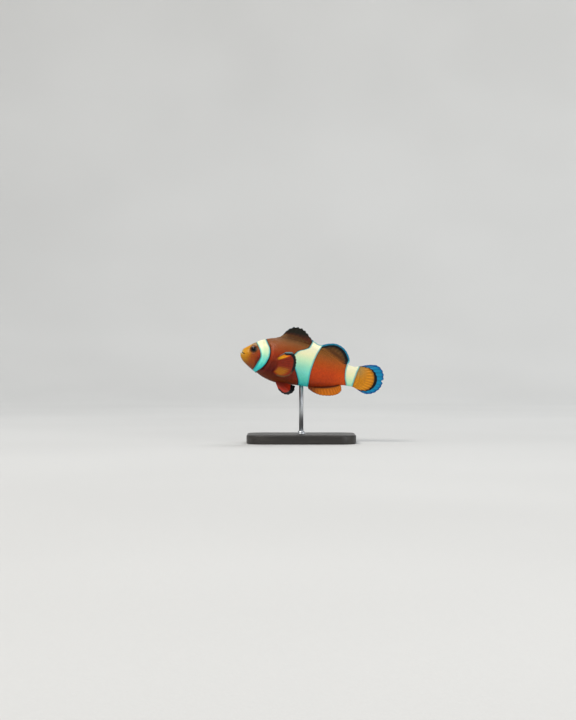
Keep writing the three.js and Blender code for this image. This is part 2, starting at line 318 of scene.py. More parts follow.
def smooth(value, low, high):
    """0 up to low and 1 from high on, with a smooth slope; it falls where low is the larger."""
    t = np.clip((value - low) / (high - low), 0, 1)
    return t * t * (3 - 2 * t)


def hump(value, width):
    """A ridge: 1 at 0, dying away smoothly on both sides over this width."""
    return np.exp(-((value / width) ** 2))


def edge_at(points, z):
    """How far back an edge lies at height z."""
    share = np.linspace(0, 1, 200)
    heights, backs = (through(column, share) for column in zip(*points))
    return np.interp(z, heights, backs)


def in_place(p):
    """From the fish's own frame, in millimetres, to the model's, in metres, with the tail's swing."""
    x, y, z = p[..., 0], p[..., 1], p[..., 2]
    y = y - SWAY_REACH * np.maximum(0, (x - SWAY_START) / SWAY_LENGTH) ** 2
    turned = [x * math.cos(PITCH) + z * math.sin(PITCH), y, z * math.cos(PITCH) - x * math.sin(PITCH)]
    return (np.stack(turned, -1) + SNOUT) * MM


def in_fish(p):
    """From the model's frame to the fish's own, for a place ahead of the tail's swing."""
    x, y, z = p / MM - SNOUT
    sine, cosine = math.sin(PITCH), math.cos(PITCH)
    return np.array([x * cosine - z * sine, y, x * sine + z * cosine])


def unit(vectors):
    return vectors / np.maximum(np.linalg.norm(vectors, axis=-1, keepdims=True), 1e-9)


def plain_body(share, angle):
    """The body's plain form: a share from snout to tail, and an angle that is a quarter turn at the back."""
    share, angle = np.broadcast_arrays(share, angle)
    xs, backs, bellies, halves = (through(column, share) for column in zip(*STATIONS))
    rise, side = np.sin(angle), np.cos(angle)
    roundness = np.where(rise > 0, BACK_SHARPNESS, 1)
    y = np.sign(side) * np.abs(side) ** roundness * np.maximum(halves, 0)
    return np.stack([xs, y, (backs + bellies) / 2 + rise * (backs - bellies) / 2], -1)


def body_normal(share, angle):
    step = 1e-4
    inner = np.clip(share, 0.002, 0.998)
    along = plain_body(inner + step, angle) - plain_body(inner - step, angle)
    round_it = plain_body(inner, angle + step) - plain_body(inner, angle - step)
    return unit(np.cross(round_it, along))


EYE_CENTRE = in_fish(np.mean(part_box("eye_left"), axis=0))
EYE_FACING = unit(np.array([-0.13, -0.985, 0.11]))
EYE_RADIUS = 2.45


def eye_distance(p):
    """How far each place of the left side is from the line through the eye's middle."""
    away = p - EYE_CENTRE
    along = (away * EYE_FACING).sum(-1, keepdims=True)
    return np.linalg.norm(away - along * EYE_FACING, axis=-1)


def breast_root_distance(x, z):
    """How far a place of the flank is from the curve that the breast fin's rays grow from."""
    past_end = np.maximum(0, np.maximum(z - 0.4, -6.0 - z))
    return np.hypot(x - 20.1 + 0.05 * (z + 2.6) ** 2, past_end)


def mouth_height(x):
    """How high the mouth's slit lies at x."""
    return 0.45 - 0.26 * x - 0.015 * x * x


def mouth_relief(x, z):
    """Lips, parted in front and closing to a slit that drops to its corner, and the fold behind the jaw."""
    over = z - mouth_height(x)
    parted = smooth(x, 2.0, 0.3)
    slit = -(0.6 + 0.6 * parted) * hump(over, 0.13 + 0.19 * parted) - 0.10 * hump(np.abs(over) - 1.15, 0.2)
    lips = np.where(over > 0, 0.10, 0.24) * hump(np.abs(over) - 0.65, 0.3)
    drawn_in = -0.25 * hump(over - 0.9, 0.8) * parted
    jaw_fold = -0.12 * hump(np.hypot(x - 3.1, z + 1.5) - 1.0, 0.15) * smooth(x, 2.6, 3.4)
    return (slit + lips + drawn_in) * smooth(x, MOUTH_CORNER + 0.3, MOUTH_CORNER - 0.5) + jaw_fold


def nostril_relief(x, z):
    """A pit with a raised rim."""
    away = np.hypot(x - NOSTRIL[0], z - NOSTRIL[1])
    return 0.12 * hump(away - 0.34, 0.14) - 0.4 * hump(away, 0.2)


def eye_relief(p):
    """The eye's socket, the fold round it, a soft hollow round that, and the brow."""
    away = eye_distance(p)
    fold = 0.2 * hump(away - EYE_RADIUS - 0.1, 0.2) - 0.08 * hump(away - EYE_RADIUS - 0.65, 0.25)
    brow = 0.15 * hump(away - EYE_RADIUS - 1.25, 0.5) * smooth(p[..., 2], 4.5, 6.5)
    return fold + brow - 0.5 * smooth(away, 2.2, 1.7)


def gill_relief(x, z):
    """The cheek's bony edge and the gill cover's free edge, each a low step with a groove behind it."""
    past_cheek = x - edge_at(CHEEK_EDGE, z)
    past_gill = x - edge_at(GILL_EDGE, z)
    cheek = 0.12 * hump(past_cheek, 0.9) * (past_cheek < 0) - 0.06 * hump(past_cheek - 0.2, 0.22)
    cheek = cheek * smooth(z, -9, -7) * smooth(z, 8.5, 6)
    lip = 0.22 * hump(past_gill, 1.2) * smooth(past_gill, 0.1, -0.1)
    groove = -0.42 * np.exp(-np.maximum(past_gill, 0) / 1.3) * smooth(past_gill, -0.08, 0.12)
    # The throat's pleats lie below the gill covers.
    pleats = 0.07 * np.cos(past_gill * math.tau / THROAT_PLEAT) * smooth(z, -7.2, -8.5)
    pleats = pleats * smooth(past_gill, -0.3, -1) * smooth(past_gill, -4.2, -3)
    return cheek + (lip + groove) * smooth(z, 9.5, 6.5) + pleats


def relief(p):
    """How far the skin stands out from the plain form, with the same relief on both sides."""
    x, z = p[..., 0], p[..., 2]
    left = np.stack([x, -np.abs(p[..., 1]), z], -1)
    breast_lobe = 0.45 * hump(breast_root_distance(x, z), 1.0)
    return mouth_relief(x, z) + nostril_relief(x, z) + eye_relief(left) + gill_relief(x, z) + breast_lobe


def skin_point(share, angle, height=0.0):
    p = plain_body(share, angle)
    return p + body_normal(share, angle) * (relief(p) - COAT + height)[..., None]


def coordinates(bm):
    return np.array([v.co for v in bm.verts])


def move_to(bm, places):
    for v, place in zip(bm.verts, places):
        v.co = place


def skin_mesh():
    bm = bmesh.new()
    bm.loops.layers.uv.new("OFBake")
    bmesh.ops.create_uvsphere(bm, u_segments=SKIN_SIDES, v_segments=SKIN_RINGS, radius=1, calc_uvs=True)
    x, y, z = coordinates(bm).T
    share = np.arccos(np.clip(z, -1, 1)) / np.pi
    angle = np.where(np.abs(z) > 0.999999, 0, np.arctan2(y, x))
    move_to(bm, in_place(skin_point(share, angle)))
    bmesh.ops.recalc_face_normals(bm, faces=bm.faces)
    return bm


HEAD_BAND = (
    [(-9, 7.9), (-6.9, 9.1), (-3.3, 10.5), (0.1, 11.4), (2.1, 11.0), (6.1, 8.6), (8, 7.1), (12, 5.2)],
    [(-12, 7.5), (-8.2, 11.0), (-4.9, 13.9), (-1.3, 15.6), (1.8, 16.2), (4.8, 15.8), (8.1, 13.8), (12, 11)],
)
MIDDLE_BAND = (
    [(-14, 34.6), (-10, 34.8), (-6.1, 33.4), (-1, 30.6), (3, 29.1),
     (6.2, 30.2), (9.2, 34.7), (11, 36.8), (16, 37.9)],
    [(-14, 40.6), (-8.3, 40.3), (-3, 40.15), (1.4, 40.5), (7, 41.5), (11.7, 43.2), (16, 45.2)],
)
TAIL_BAND = (
    [(-8, 61.8), (-4.3, 60.3), (-1.9, 59.4), (0.6, 58.9), (3.2, 58.7), (8, 59.5)],
    [(-8, 64.1), (-4.3, 64.5), (1.6, 65.2), (5.7, 66.1), (8, 66.8)],
)


def edge_shade(z, points):
    """How far back a band's edge lies at each height."""
    low, high = points[0][0], points[-1][0]
    least = min(back for _, back in points)
    span = max(back for _, back in points) - least
    bends = [((height - low) / (high - low), (back - least) / span) for height, back in points]
    return z.new("FloatCurve", {"bends": bends}, {"Value": (z - low) / (high - low)}) * span + least


def fish_place(here):
    """The position in the fish's own frame, in millimetres, and how far back from the snout and up it is."""
    place = here.new(
        "Mapping",
        {"vector_type": "TEXTURE"},
        {"Vector": here, "Location": tuple(SNOUT * MM), "Rotation": (0, PITCH, 0), "Scale": (MM, MM, MM)},
    )
    x = place.new("SeparateXYZ", None, {0: place})
    return place, x, x.other(2)


def band_depth(x, z):
    """How far inside the nearest pale band a place is, in millimetres; less than 0 outside."""
    depth = None
    for front, rear in (HEAD_BAND, MIDDLE_BAND, TAIL_BAND):
        inside = (x - edge_shade(z, front)).least(edge_shade(z, rear) - x)
        depth = inside if depth is None else depth.most(inside)
    return depth


def add_attribute(mesh, name, values):
    """A number at each vertex, for the finish to read."""
    mesh.attributes.new(name, "FLOAT", "POINT").data.foreach_set("value", np.asarray(values, np.float32))


def attribute(here, name):
    return here.new("Attribute", {"attribute_name": name}, output=2)


def ramp(value, low, high, *codes):
    """Runs evenly through these colours as the value goes from low to high."""
    stops = [(0.999 * i / (len(codes) - 1), colour(code)) for i, code in enumerate(codes)]
    return value.new("ValToRGB", {"stops": stops}, {0: (value - low) / (high - low)})


def markings(here):
    """The fish's colours, how deep in a pale band each place is, and where it is, in the fish's own frame.

    Skin, scales and fins all read these, so the markings run on from one piece to the next."""
    place, x, z = fish_place(here)
    wobble = place.noise(0.9, 3) - 0.5
    height = z + wobble * 2
    # Deep orange, olive under the rear of the back fin. Low on the shoulder and the flank it is deep red,
    # partly its own colour and partly painted shade below the breast fin and above the belly fin; the sandy
    # nape is partly a painted highlight from above.
    shoulder = ramp(height, -11, 13, "7c3402", "5e0e02", "782204", "a43606", "a25014", "8c6640")
    flank = ramp(height, -10.5, 13, "842404", "ca4406", "d04808", "bc540e", "96581e", "74501c")
    ground = (x + wobble * 5).rise(24, 43).mix(shoulder, flank)
    ground = ((x + wobble * 4).rise(51, 58) * z.rise(4, -2) * 0.35).mix(ground, "f06006")
    # The face is golden, and browner round the eye, with a pale brow; the tail is gold.
    cheek = ramp(height, -8, 6, "7c3c02", "923e06", "8c3a0c", "94602a")
    face = (x + wobble * 3 - z * 0.1).rise(10.5, 8.5).mix(ground, cheek)
    gold = ramp(height, -5, 4, "a06a02", "c88602", "d8940a")
    face = (x + wobble * 3.5 - z * 0.15).rise(7.6, 2.6).mix(face, gold)
    brow = abs(x - 6.8).rise(2.4, 0.6) * z.rise(4.7, 5.9)
    face = (brow * 0.8).mix(face, "ac8c62")
    ground = x.rise(12, 9).mix(ground, face)
    # The sheaths of scales at the back fin's roots darken outwards.
    sheath = height.rise(10.5, 14.5) * x.rise(20, 25) * x.rise(38, 35)
    sheath = sheath.most((height + x * 0.5).rise(33.5, 36) * x.rise(44, 47))
    ground = (sheath * 0.9).mix(ground, "54300f")
    # The tail is golden, with an olive cast on its upper root.
    olive = x.rise(72, 66) * z.rise(-2, 4)
    tail = (olive * 0.8 + (place.noise(0.9) - 0.5) * 0.5).mix("dc8e14", "b09454")
    tail = ((place.noise(1.1) - 0.5) * x.rise(69, 74) * 2).mix(tail, "c86414")
    ground = x.rise(61, 63).mix(ground, tail)
    # Pale bands in painted light and shade, lit cream above and shaded sea green below, with a thin
    # blue-green rim in a black one.
    depth = band_depth(x + wobble * 0.35, z)
    # The painted light is stronger on the tail band, and the head band's lower front is painted in deeper
    # shade.
    light = z + x.rise(54, 58) * 6 - x.rise(20, 16) * z.rise(3, -4) * 4.5
    pale = ramp(light, -10.5, 10, "3cd8d4", "6cead2", "86f0da", "a4f2d0", "d8fcce", "fafac8", "fffad2")
    pale = (depth.rise(1.1, 0.1) * 0.85).mix(pale, "14b4bc")
    black = depth.rise(-0.75, -0.25) * (x.rise(11.5, 13.5) * x.rise(38.5, 36.5) * 0.5 + 0.4)
    painted = black.mix(ground, "04121c")
    painted = depth.rise(-0.08, 0.10).mix(painted, pale)
    return SimpleNamespace(painted=painted, depth=depth, place=place, x=x, z=z)


skin_finish, here = new_material("fish_skin", Specular_IOR_Level=0.2, Coat_Weight=0.15, Coat_Roughness=0.12)
fish = markings(here)
# The lips are painted pale yellow, partly their own colour and partly a painted highlight.
lips = fish.x.rise(2.2, 1.0) * abs(fish.z - 0.4).rise(1.9, 0.9)
skin_colour = (lips * 0.65).mix(fish.painted, "ccb868")
# The mouth's slit is painted almost black, a painted shade inside it.
slit_shade = abs(fish.z - mouth_height(fish.x)).rise(0.32, 0.12) * fish.x.rise(2.9, 2.2)
skin_colour = (slit_shade * 0.9).mix(skin_colour, "1c0c06")
pores = fish.place.noise(9, 3)
shade(
    skin_finish,
    Base_Color=skin_colour,
    Roughness=pores * 0.2 + 0.3,
    Normal=pores.bumps(0.00006, 0.6),
)
skin = add_object("skin", skin_mesh(), skin_finish)
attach(skin, "root")
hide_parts("head", "lower_jaw", "gill_cover_left", "gill_cover_right", "trunk", "tail_stalk")

# ---- Scales ----
# About two and a half thousand small round-edged scales on each side, in staggered rows that overlap towards
# the tail as roof tiles do. Each is a thin lens set on the skin, its root sunk in and its rear edge clear.
ROW_STEP = 0.58  # between neighbouring rows, at the middle of the body
HALF_ROWS = 30
SCALE_LENGTH = 1.8  # in steps along a row
SCALE_WIDTH = 2.2  # in steps between rows
SCALE_LIFT = 0.10  # how far a scale's rear edge stands over the skin
SCALE_ROOT = 0.07  # and how deep its root lies in it
SCALE_DOME = 0.035  # and its middle over its edge
SCALE_SUNK = 0.09  # how much deeper the smallest scales lie, where the scaly parts run out
LEAST_GROWN = 0.2  # the smallest scale that is set
SCALED_FROM = [(-14, 12), (-8, 8.6), (-6, 6.8), (-1, 5.6), (0.5, 6.0),
               (2.5, 7.6), (5.5, 8.2), (9, 7.6), (14, 7.6)]
THIN_RIDGE = (24, 17)  # the back fin's front, where it is a thin ridge, with no swollen base
BAKE_PATCH = 0.003  # a scale's patch on its piece's unwrap

rng = np.random.default_rng(11)

# Tables of how far back each share of the body is, and of the arc from the middle line round the side there.
SHARES = np.linspace(0.002, 0.998, 500)
BODY_X = through([station[0] for station in STATIONS], SHARES)
QUARTERS = np.linspace(-math.pi / 2, math.pi / 2, 121)
sections = plain_body(SHARES[:, None], QUARTERS[None, :])
ARCS = np.cumsum(np.linalg.norm(np.diff(sections, axis=1, prepend=sections[:, :1]), axis=-1), axis=1)
ARCS -= ARCS[:, len(QUARTERS) // 2, None]
LANE = 1000.0  # keeps the rows of the table apart when it is read as one long list
lanes = (ARCS + LANE * np.arange(len(SHARES))[:, None]).ravel()
lane_quarters = np.tile(QUARTERS, len(SHARES))


def share_at(x):
    """The share of the body from snout to tail that lies at x."""
    return np.interp(x, BODY_X, SHARES)


def flank_place(x, arc):
    """The share and the angle of the place at x that lies an arc above the side's middle line."""
    at = np.interp(x, BODY_X, np.arange(len(SHARES)))
    low = np.clip(at.astype(int), 0, len(SHARES) - 2)
    angles = []
    for lane in (low, low + 1):
        kept = np.clip(arc, ARCS[lane, 0], ARCS[lane, -1])
        angles.append(np.interp(kept + LANE * lane, lanes, lane_quarters))
    return share_at(x), angles[0] + (at - low) * (angles[1] - angles[0])


def body_half_width(x, z):
    """Half the body's thickness at a place seen from the side; below 0 beyond its outline."""
    _, back, belly, half = (through(column, share_at(x)) for column in zip(*STATIONS))
    middle, reach = (back + belly) / 2, (back - belly) / 2
    off = np.abs(z - middle)
    side = np.sqrt(np.maximum(0, 1 - (off / reach) ** 2))
    return half * np.where(z > middle, side**BACK_SHARPNESS, side) - np.maximum(0, off - reach)


def unswollen(x):
    """1 where the back fin is a thin ridge, and 0 where the upright fins' bases swell to meet the body."""
    return smooth(x, *THIN_RIDGE)


def row_squeeze(x):
    """How close the rows lie, smaller on the head and towards the tail."""
    return 0.74 + 0.26 * smooth(x, 8, 22) - 0.30 * smooth(x, 42, 66)


def step_along(x):
    return 1.02 * row_squeeze(x) ** 1.1


def scale_shape():
    """A scale 1 long and wide: how far back, up, outwards and rimwards its vertices are, and its faces."""
    bm = bmesh.new()
    bmesh.ops.create_uvsphere(bm, u_segments=10, v_segments=3, radius=1)
    x, y, z = coordinates(bm).T
    faces = [[v.index for v in face.verts] for face in bm.faces]
    bm.free()
    rim = np.hypot(x, y) / np.hypot(x, y).max()
    outward = np.where(z > 0, 0.72, 1.0) * rim / 2
    turn = np.arctan2(y, x)
    back = outward * np.cos(turn)
    side = outward * np.sin(turn) * (1 + 0.35 * back)
    dome = np.select([z > 0.9, z > 0, z > -0.9], [1.0, 0.6, 0.0], -1.2)
    return back, side, dome, rim * np.where(z > 0, 0.6, 1.0), faces


def scaliness(x, z):
    """How fully a place bears scales: not at all on the snout, the jaws and the throat and round the eye."""
    place = np.stack([x, np.full_like(x, -4.5), z], -1)
    grown = smooth(x - edge_at(SCALED_FROM, z), 0, 3.5) * smooth(eye_distance(place), 2.9, 4.5)
    past_gill = x - edge_at(GILL_EDGE, z)
    below_top = z < 7
    grown = np.where(below_top & (past_gill < 0), grown * smooth(past_gill, -0.3, -1.0), grown)
    grown = np.where(below_top & (past_gill >= 0), grown * smooth(past_gill, 0.35, 1.0), grown)
    grown = grown * (1 - hump(breast_root_distance(x, z), 0.9))
    grown = grown * (1 - 0.9 * hump(x - edge_at(CHEEK_EDGE, z) - 0.2, 0.45))
    # Under the upright fins' scaly bases, and on the stalk's end, which the tail fin covers, there are none.
    under_fin = ((z > 0) & (x > 15) & (x < 56)) | ((z < 0) & (x > 43) & (x < 56))
    half_width = body_half_width(x, z) + 0.8 * unswollen(x)
    grown = np.where(under_fin, grown * smooth(half_width, 1.1, 1.5), grown)
    grown = grown * smooth(x, 66.3, 65.2)
    return np.where((past_gill < 0) & (z < -6.5), 0, grown)


def sow_scales():
    """A side's scales: how far back each is, its row up from the middle line, and how full it is."""
    xs = np.linspace(4, 67.5, 2000)
    counted = np.concatenate([[0], np.cumsum(np.diff(xs) / step_along(xs[1:]))])
    rows = np.arange(-HALF_ROWS, HALF_ROWS + 1)
    row, column = np.meshgrid(rows, np.arange(int(counted[-1])), indexing="ij")
    x = np.interp(column + 0.5 * (row % 2), counted, xs).ravel()
    row = row.ravel().astype(float)
    arc = row * ROW_STEP * row_squeeze(x)
    at = np.interp(x, BODY_X, np.arange(len(SHARES))).astype(int)
    fits = (arc > ARCS[at, 0] + 0.1) & (arc < ARCS[at, -1] - 0.1)
    grown = scaliness(x, plain_body(*flank_place(x, arc))[..., 2])
    keep = fits & (grown > LEAST_GROWN)
    return x[keep], row[keep], grown[keep, None]


def faded_rim(rim, grown):
    """Each scale's rim, fainter where the scales run out, so that the painted shade on their edges fades as
    well.
    """
    return (rim * (0.75 + 0.25 * smooth(grown, LEAST_GROWN, 0.9))).ravel()


def scale_height(back, dome, lift, grown):
    """How high a scale's vertices lie over what bears it, from its sunk root to its lifted rear edge."""
    slope = (lift + SCALE_ROOT) * (back + 0.5) - SCALE_ROOT
    return slope + dome * SCALE_DOME * grown - (1 - grown) * SCALE_SUNK


def unwrap(mesh, places):
    """Gives a mesh its OFBake map, from a place on it for each vertex."""
    corner_of = np.empty(len(mesh.loops), int)
    mesh.loops.foreach_get("vertex_index", corner_of)
    mesh.uv_layers.new(name="OFBake").data.foreach_set("uv", places[corner_of].ravel())


def joined_scales(name, places, faces, patches, tint, rim):
    """One mesh of many scales, from one's faces and all their vertices' places, patches, tints and rims."""
    corners = 1 + max(v for face in faces for v in face)
    numbered = [[start + v for v in face] for start in range(0, len(places), corners) for face in faces]
    mesh = bpy.data.meshes.new(name)
    mesh.from_pydata(places.tolist(), [], numbered)
    unwrap(mesh, patches)
    add_attribute(mesh, "tint", tint)
    add_attribute(mesh, "rim", rim)
    bm = bmesh.new()
    bm.from_mesh(mesh)
    bmesh.ops.recalc_face_normals(bm, faces=bm.faces)
    bm.to_mesh(mesh)
    bm.free()
    return mesh


def scales_mesh(name, side):
    x, row, grown = sow_scales()
    count = len(x)
    back, up, dome, rim, faces = scale_shape()
    size = rng.uniform(0.97, 1.03, (count, 1))
    yaw = rng.normal(0, 0.03, (count, 1))
    lift = SCALE_LIFT * rng.uniform(0.9, 1.1, (count, 1)) * grown
    tint = rng.uniform(0, 1, count)
    length = SCALE_LENGTH * step_along(x)[:, None] * size
    width = SCALE_WIDTH * size
    # Each vertex's place is worked out along its row and across it, so a scale bends with the body.
    vertex_x = x[:, None] + length * (back + 0.3) - width * up * yaw
    vertex_row = row[:, None] + width * up + length * back * yaw
    vertex_x, vertex_row = vertex_x.ravel(), vertex_row.ravel()
    share, quarter = flank_place(vertex_x, vertex_row * ROW_STEP * row_squeeze(vertex_x))
    angle = np.where(side < 0, math.pi - quarter, quarter)
    places = in_place(skin_point(share, angle, scale_height(back, dome, lift, grown).ravel()))
    # Every scale is one small patch of the unwrap, which lies as its root does on the body.
    root_share, root_quarter = flank_place(x, row * ROW_STEP * row_squeeze(x))
    u = 0.02 + 0.96 * (root_quarter / math.pi + 0.5)[:, None] + BAKE_PATCH * up
    v = 0.02 + 0.96 * root_share[:, None] + BAKE_PATCH * back
    patches = np.stack([u.ravel(), v.ravel()], -1)
    return joined_scales(name, places, faces, patches, np.repeat(tint, len(rim)), faded_rim(rim, grown))


varnish = {"Specular_IOR_Level": 0.2, "Coat_Weight": 0.12, "Coat_Roughness": 0.15}
scale_finish, here = new_material("fish_scales", **varnish)
fish = markings(here)
tint = attribute(here, "tint")
# Each scale's edge is painted darker, a painted shade where it overlaps the next, less so on the pale bands.
orange = fish.depth.rise(0.2, -0.2) * 0.8 + 0.2
rim_shade = attribute(here, "rim").rise(0.75, 1.0)
scale_colour = (rim_shade * orange * 0.25).mix(fish.painted, "7a5a48", "MULTIPLY")
scale_colour = (tint * orange * 0.3).mix(scale_colour, "c0a498", "MULTIPLY")
shade(
    scale_finish,
    Base_Color=scale_colour,
    Roughness=tint * 0.12 + 0.32,
    Normal=fish.place.noise(14, 2).bumps(0.00002, 0.5),
)
for name, side in (("scales_left", -1), ("scales_right", 1)):
    scales = add_mesh(name, scales_mesh(name, side), scale_finish)
    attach(scales, "root")

# ---- Eyes ----
# Glass eyes, painted from behind: a black pupil with a thin gold ring, and an iris that pales outwards from
# dark brown. The lens bulges a little through the iris, and each eye sits in the fold of skin round it.
EYE_DEPTH = 1.3
PUPIL = 1.36
PUPIL_POINT = 0.16  # how far the pupil runs out towards the snout
LENS_BULGE = 0.16
IRIS_DISH = 0.10
PALE_IRIS = (1.45, 2.0)  # the iris pales between these radii
DARK_EDGE = (2.2, 2.38)  # and darkens between these


def eye_mesh(side):
    bm = bmesh.new()
    bmesh.ops.create_uvsphere(bm, u_segments=56, v_segments=40, radius=1)
    x, y, z = coordinates(bm).T
    out = np.hypot(x, y) * EYE_RADIUS
    across = unit(np.cross([0, 0, 1], EYE_FACING))
    upward = np.cross(EYE_FACING, across)
    front = z > 0
    lens = LENS_BULGE * np.maximum(0, 1 - (out / (PUPIL + 0.1)) ** 2)
    dish = IRIS_DISH * hump(out - PALE_IRIS[0], 0.4)
    depth = z * EYE_DEPTH + np.where(front, lens - dish, 0)
    p = EYE_CENTRE + EYE_RADIUS * (x[:, None] * across + y[:, None] * upward) + depth[:, None] * EYE_FACING
    move_to(bm, in_place(p * [1, -side, 1]))
    bmesh.ops.recalc_face_normals(bm, faces=bm.faces)
    # The pupil runs out to a slight point towards the snout.
    ahead = np.clip(-x * np.sign(across[0]) / np.maximum(np.hypot(x, y), 1e-6), 0, 1)
    out = out - PUPIL_POINT * ahead**6 * hump(out - PUPIL, 0.4)
    return bm, out + np.where(front, 0, EYE_RADIUS)


glass = {"Roughness": 0.3, "Specular_IOR_Level": 0.1, "Coat_Weight": 0.4, "Coat_Roughness": 0.02}
eye_finish, here = new_material("eye_glass", **glass)
out = attribute(here, "out")
streaks = here.noise(2500, 3)
iris = (out + (streaks - 0.5) * 0.5).rise(*PALE_IRIS).mix("1c0c06", "804012")
iris = abs(out - PUPIL - 0.07).rise(0.07, 0.02).mix(iris, "8a5818")
iris = out.rise(PUPIL + 0.04, PUPIL - 0.02).mix(iris, "010102")
iris = out.rise(*DARK_EDGE).mix(iris, "1c0c04")
shade(eye_finish, Base_Color=iris)
for name, side in (("eye_left", -1), ("eye_right", 1)):
    bm, outs = eye_mesh(side)
    eye = add_object(name + "_glass", bm, eye_finish)
    add_attribute(eye.data, "out", outs)
    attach(eye, "root")
    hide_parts(name)

# ---- Back fin ----
# One membrane from the nape to the tail stalk, on a dozen stiff spines in front and branching rays behind.
# It is cast thin, with the rays standing out on both faces, and rooted in a thicker fleshy base.
FIN_MEMBRANE = 0.16
FIN_RAY = 0.15  # how far a ray stands out from the membrane, on each face, at its root
SUNK = 1.2  # how deep the rays start inside the body
ROOT_DEPTH = 0.25  # how far inside the body's sides an upright fin's base stays
ROOT_BLEND = 1.3  # and how widely it curves out of them
ROOT_EASE = 0.4  # how much further in its very root lies
STALK_END = (66.3, 68)  # where the tail stalk rounds off, inside the tail fin
BACK_RAYS = [
    # start x on the back, tip x, tip z
    (14, 15.4, 11.1),
    (17.5, 20.4, 13.7),
    (20.5, 22.7, 17.4),
    (23.5, 26.0, 20.0),
    (27, 30.0, 20.3),
    (30.5, 33.3, 18.8),
    (34, 36.3, 16.1),
    (37.5, 39.3, 14.2),
    (40.5, 42.6, 13.3),
    (43.5, 46.6, 14.9),
    (46.5, 50.6, 15.7),
    (49.5, 54.4, 14.8),
    (52, 57.3, 12.7),
    (54, 59.4, 9.8),
    (55.8, 60.1, 7.8),
    (57.2, 59.8, 6.4),
]
BACK_SPINES = 0.46  # the share of the fin that spines hold up
FIRST_FORK, SECOND_FORK = 0.17, 0.085  # how far a ray's branches part, in steps between rays
RAY_JOINTS = 240  # how closely the rays' joints follow each other, as an angle over a ray's length
LEAF_FIELDS = ("ridge", "rim", "out", "span")  # how near a ray, how far from the rim, and the two shares
FACE_STARTS = (0.01, 0.51)  # where each face of a leaf begins on its unwrap
SCALE_FLOOR = 0.4  # the smallest scale that is set on a fin's base


def outline_at(x):
    """The heights of the back and the belly at x."""
    return [through([station[column] for station in STATIONS], share_at(x)) for column in (1, 2)]


def ray_relief(u, v, rays, spines):
    """How much a ray stands out, from 0 to 1: a plain spine, or a ray that forks twice on its way out."""
    place = u * rays
    off = place - np.round(place)
    first = FIRST_FORK * smooth(v, 0.30, 1.0)
    second = SECOND_FORK * smooth(v, 0.60, 1.0)
    width = 0.15 - 0.09 * smooth(v, 0.1, 0.9)
    forked = sum(hump(off - a * first - b * second, width) for a in (-1, 1) for b in (-1, 1))
    plain = hump(off, 0.17 - 0.06 * v)
    return np.clip(np.where(u < spines, plain, forked), 0, 1.2)


def soft_most(a, b, blend):
    """The larger of two values, rounded over where they are within blend of each other."""
    return np.maximum(a, b) + np.maximum(0, blend - np.abs(a - b)) ** 2 / (4 * blend)


def along_line(points, share):
    return np.stack([through(column, share) for column in zip(*points)], -1)


def leaf_form(roots, tips, rays, base, notch, spines=0.0, bow=0.0, wave=0.25, fleshy=0.1, upright=False):
    """A fin's form: what gives the place at a share u along it and v out, on one face, at a height over it.

    Rays up to the share spines are plain, and all stand out past the share fleshy of their length. The base
    of an upright fin swells to meet the body's sides in a hollow curve."""
    rim_line = along_line(tips, np.linspace(0, 1, 240))

    def surface(u, v):
        between = np.sin(np.pi * rays * u) ** 2
        out = (v * (1 - notch(u) * between))[..., None]
        start = along_line(roots, u)
        p = start + (along_line(tips, u) - start) * out
        sway = wave * v**1.5 * np.sin(u * 11 + 1) - bow * np.sin(np.pi * u) * v**2
        return p + np.stack([0 * u, sway, 0 * u], -1)

    def facing(u, v):
        step = 0.01
        u, v = np.clip(u, step, 1 - step), np.clip(v, 2 * step, 1 - 2 * step)
        along = surface(u + step, v) - surface(u - step, v)
        return unit(np.cross(along, surface(u, v + step) - surface(u, v - step)))

    def form(u, v, face, height=0.0):
        ridge = ray_relief(u, v, rays, spines) * smooth(v, fleshy, fleshy + 0.18)
        flesh = (base - FIN_MEMBRANE) * (0.35 + 0.65 * np.sqrt(np.sin(np.pi * np.clip(u, 0, 1))))
        thickness = FIN_MEMBRANE + flesh * np.exp(-((v / 0.2) ** 1.5)) * (1 - v)
        thickness = thickness * (1 - 0.5 * smooth(v, 0.9, 1)) + 2 * FIN_RAY * ridge * (1 - 0.65 * v)
        middle = surface(u, v)
        half = thickness / 2
        if upright:
            x, z = middle[..., 0], middle[..., 2]
            body = body_half_width(x, z) - ROOT_DEPTH - smooth(x, *STALK_END) - unswollen(x)
            half = soft_most(half, body, ROOT_BLEND) - ROOT_EASE * smooth(v, 0.15, 0.0)
        return middle, middle + facing(u, v) * (face * (half + height))[..., None], ridge

    return form, rim_line, rays


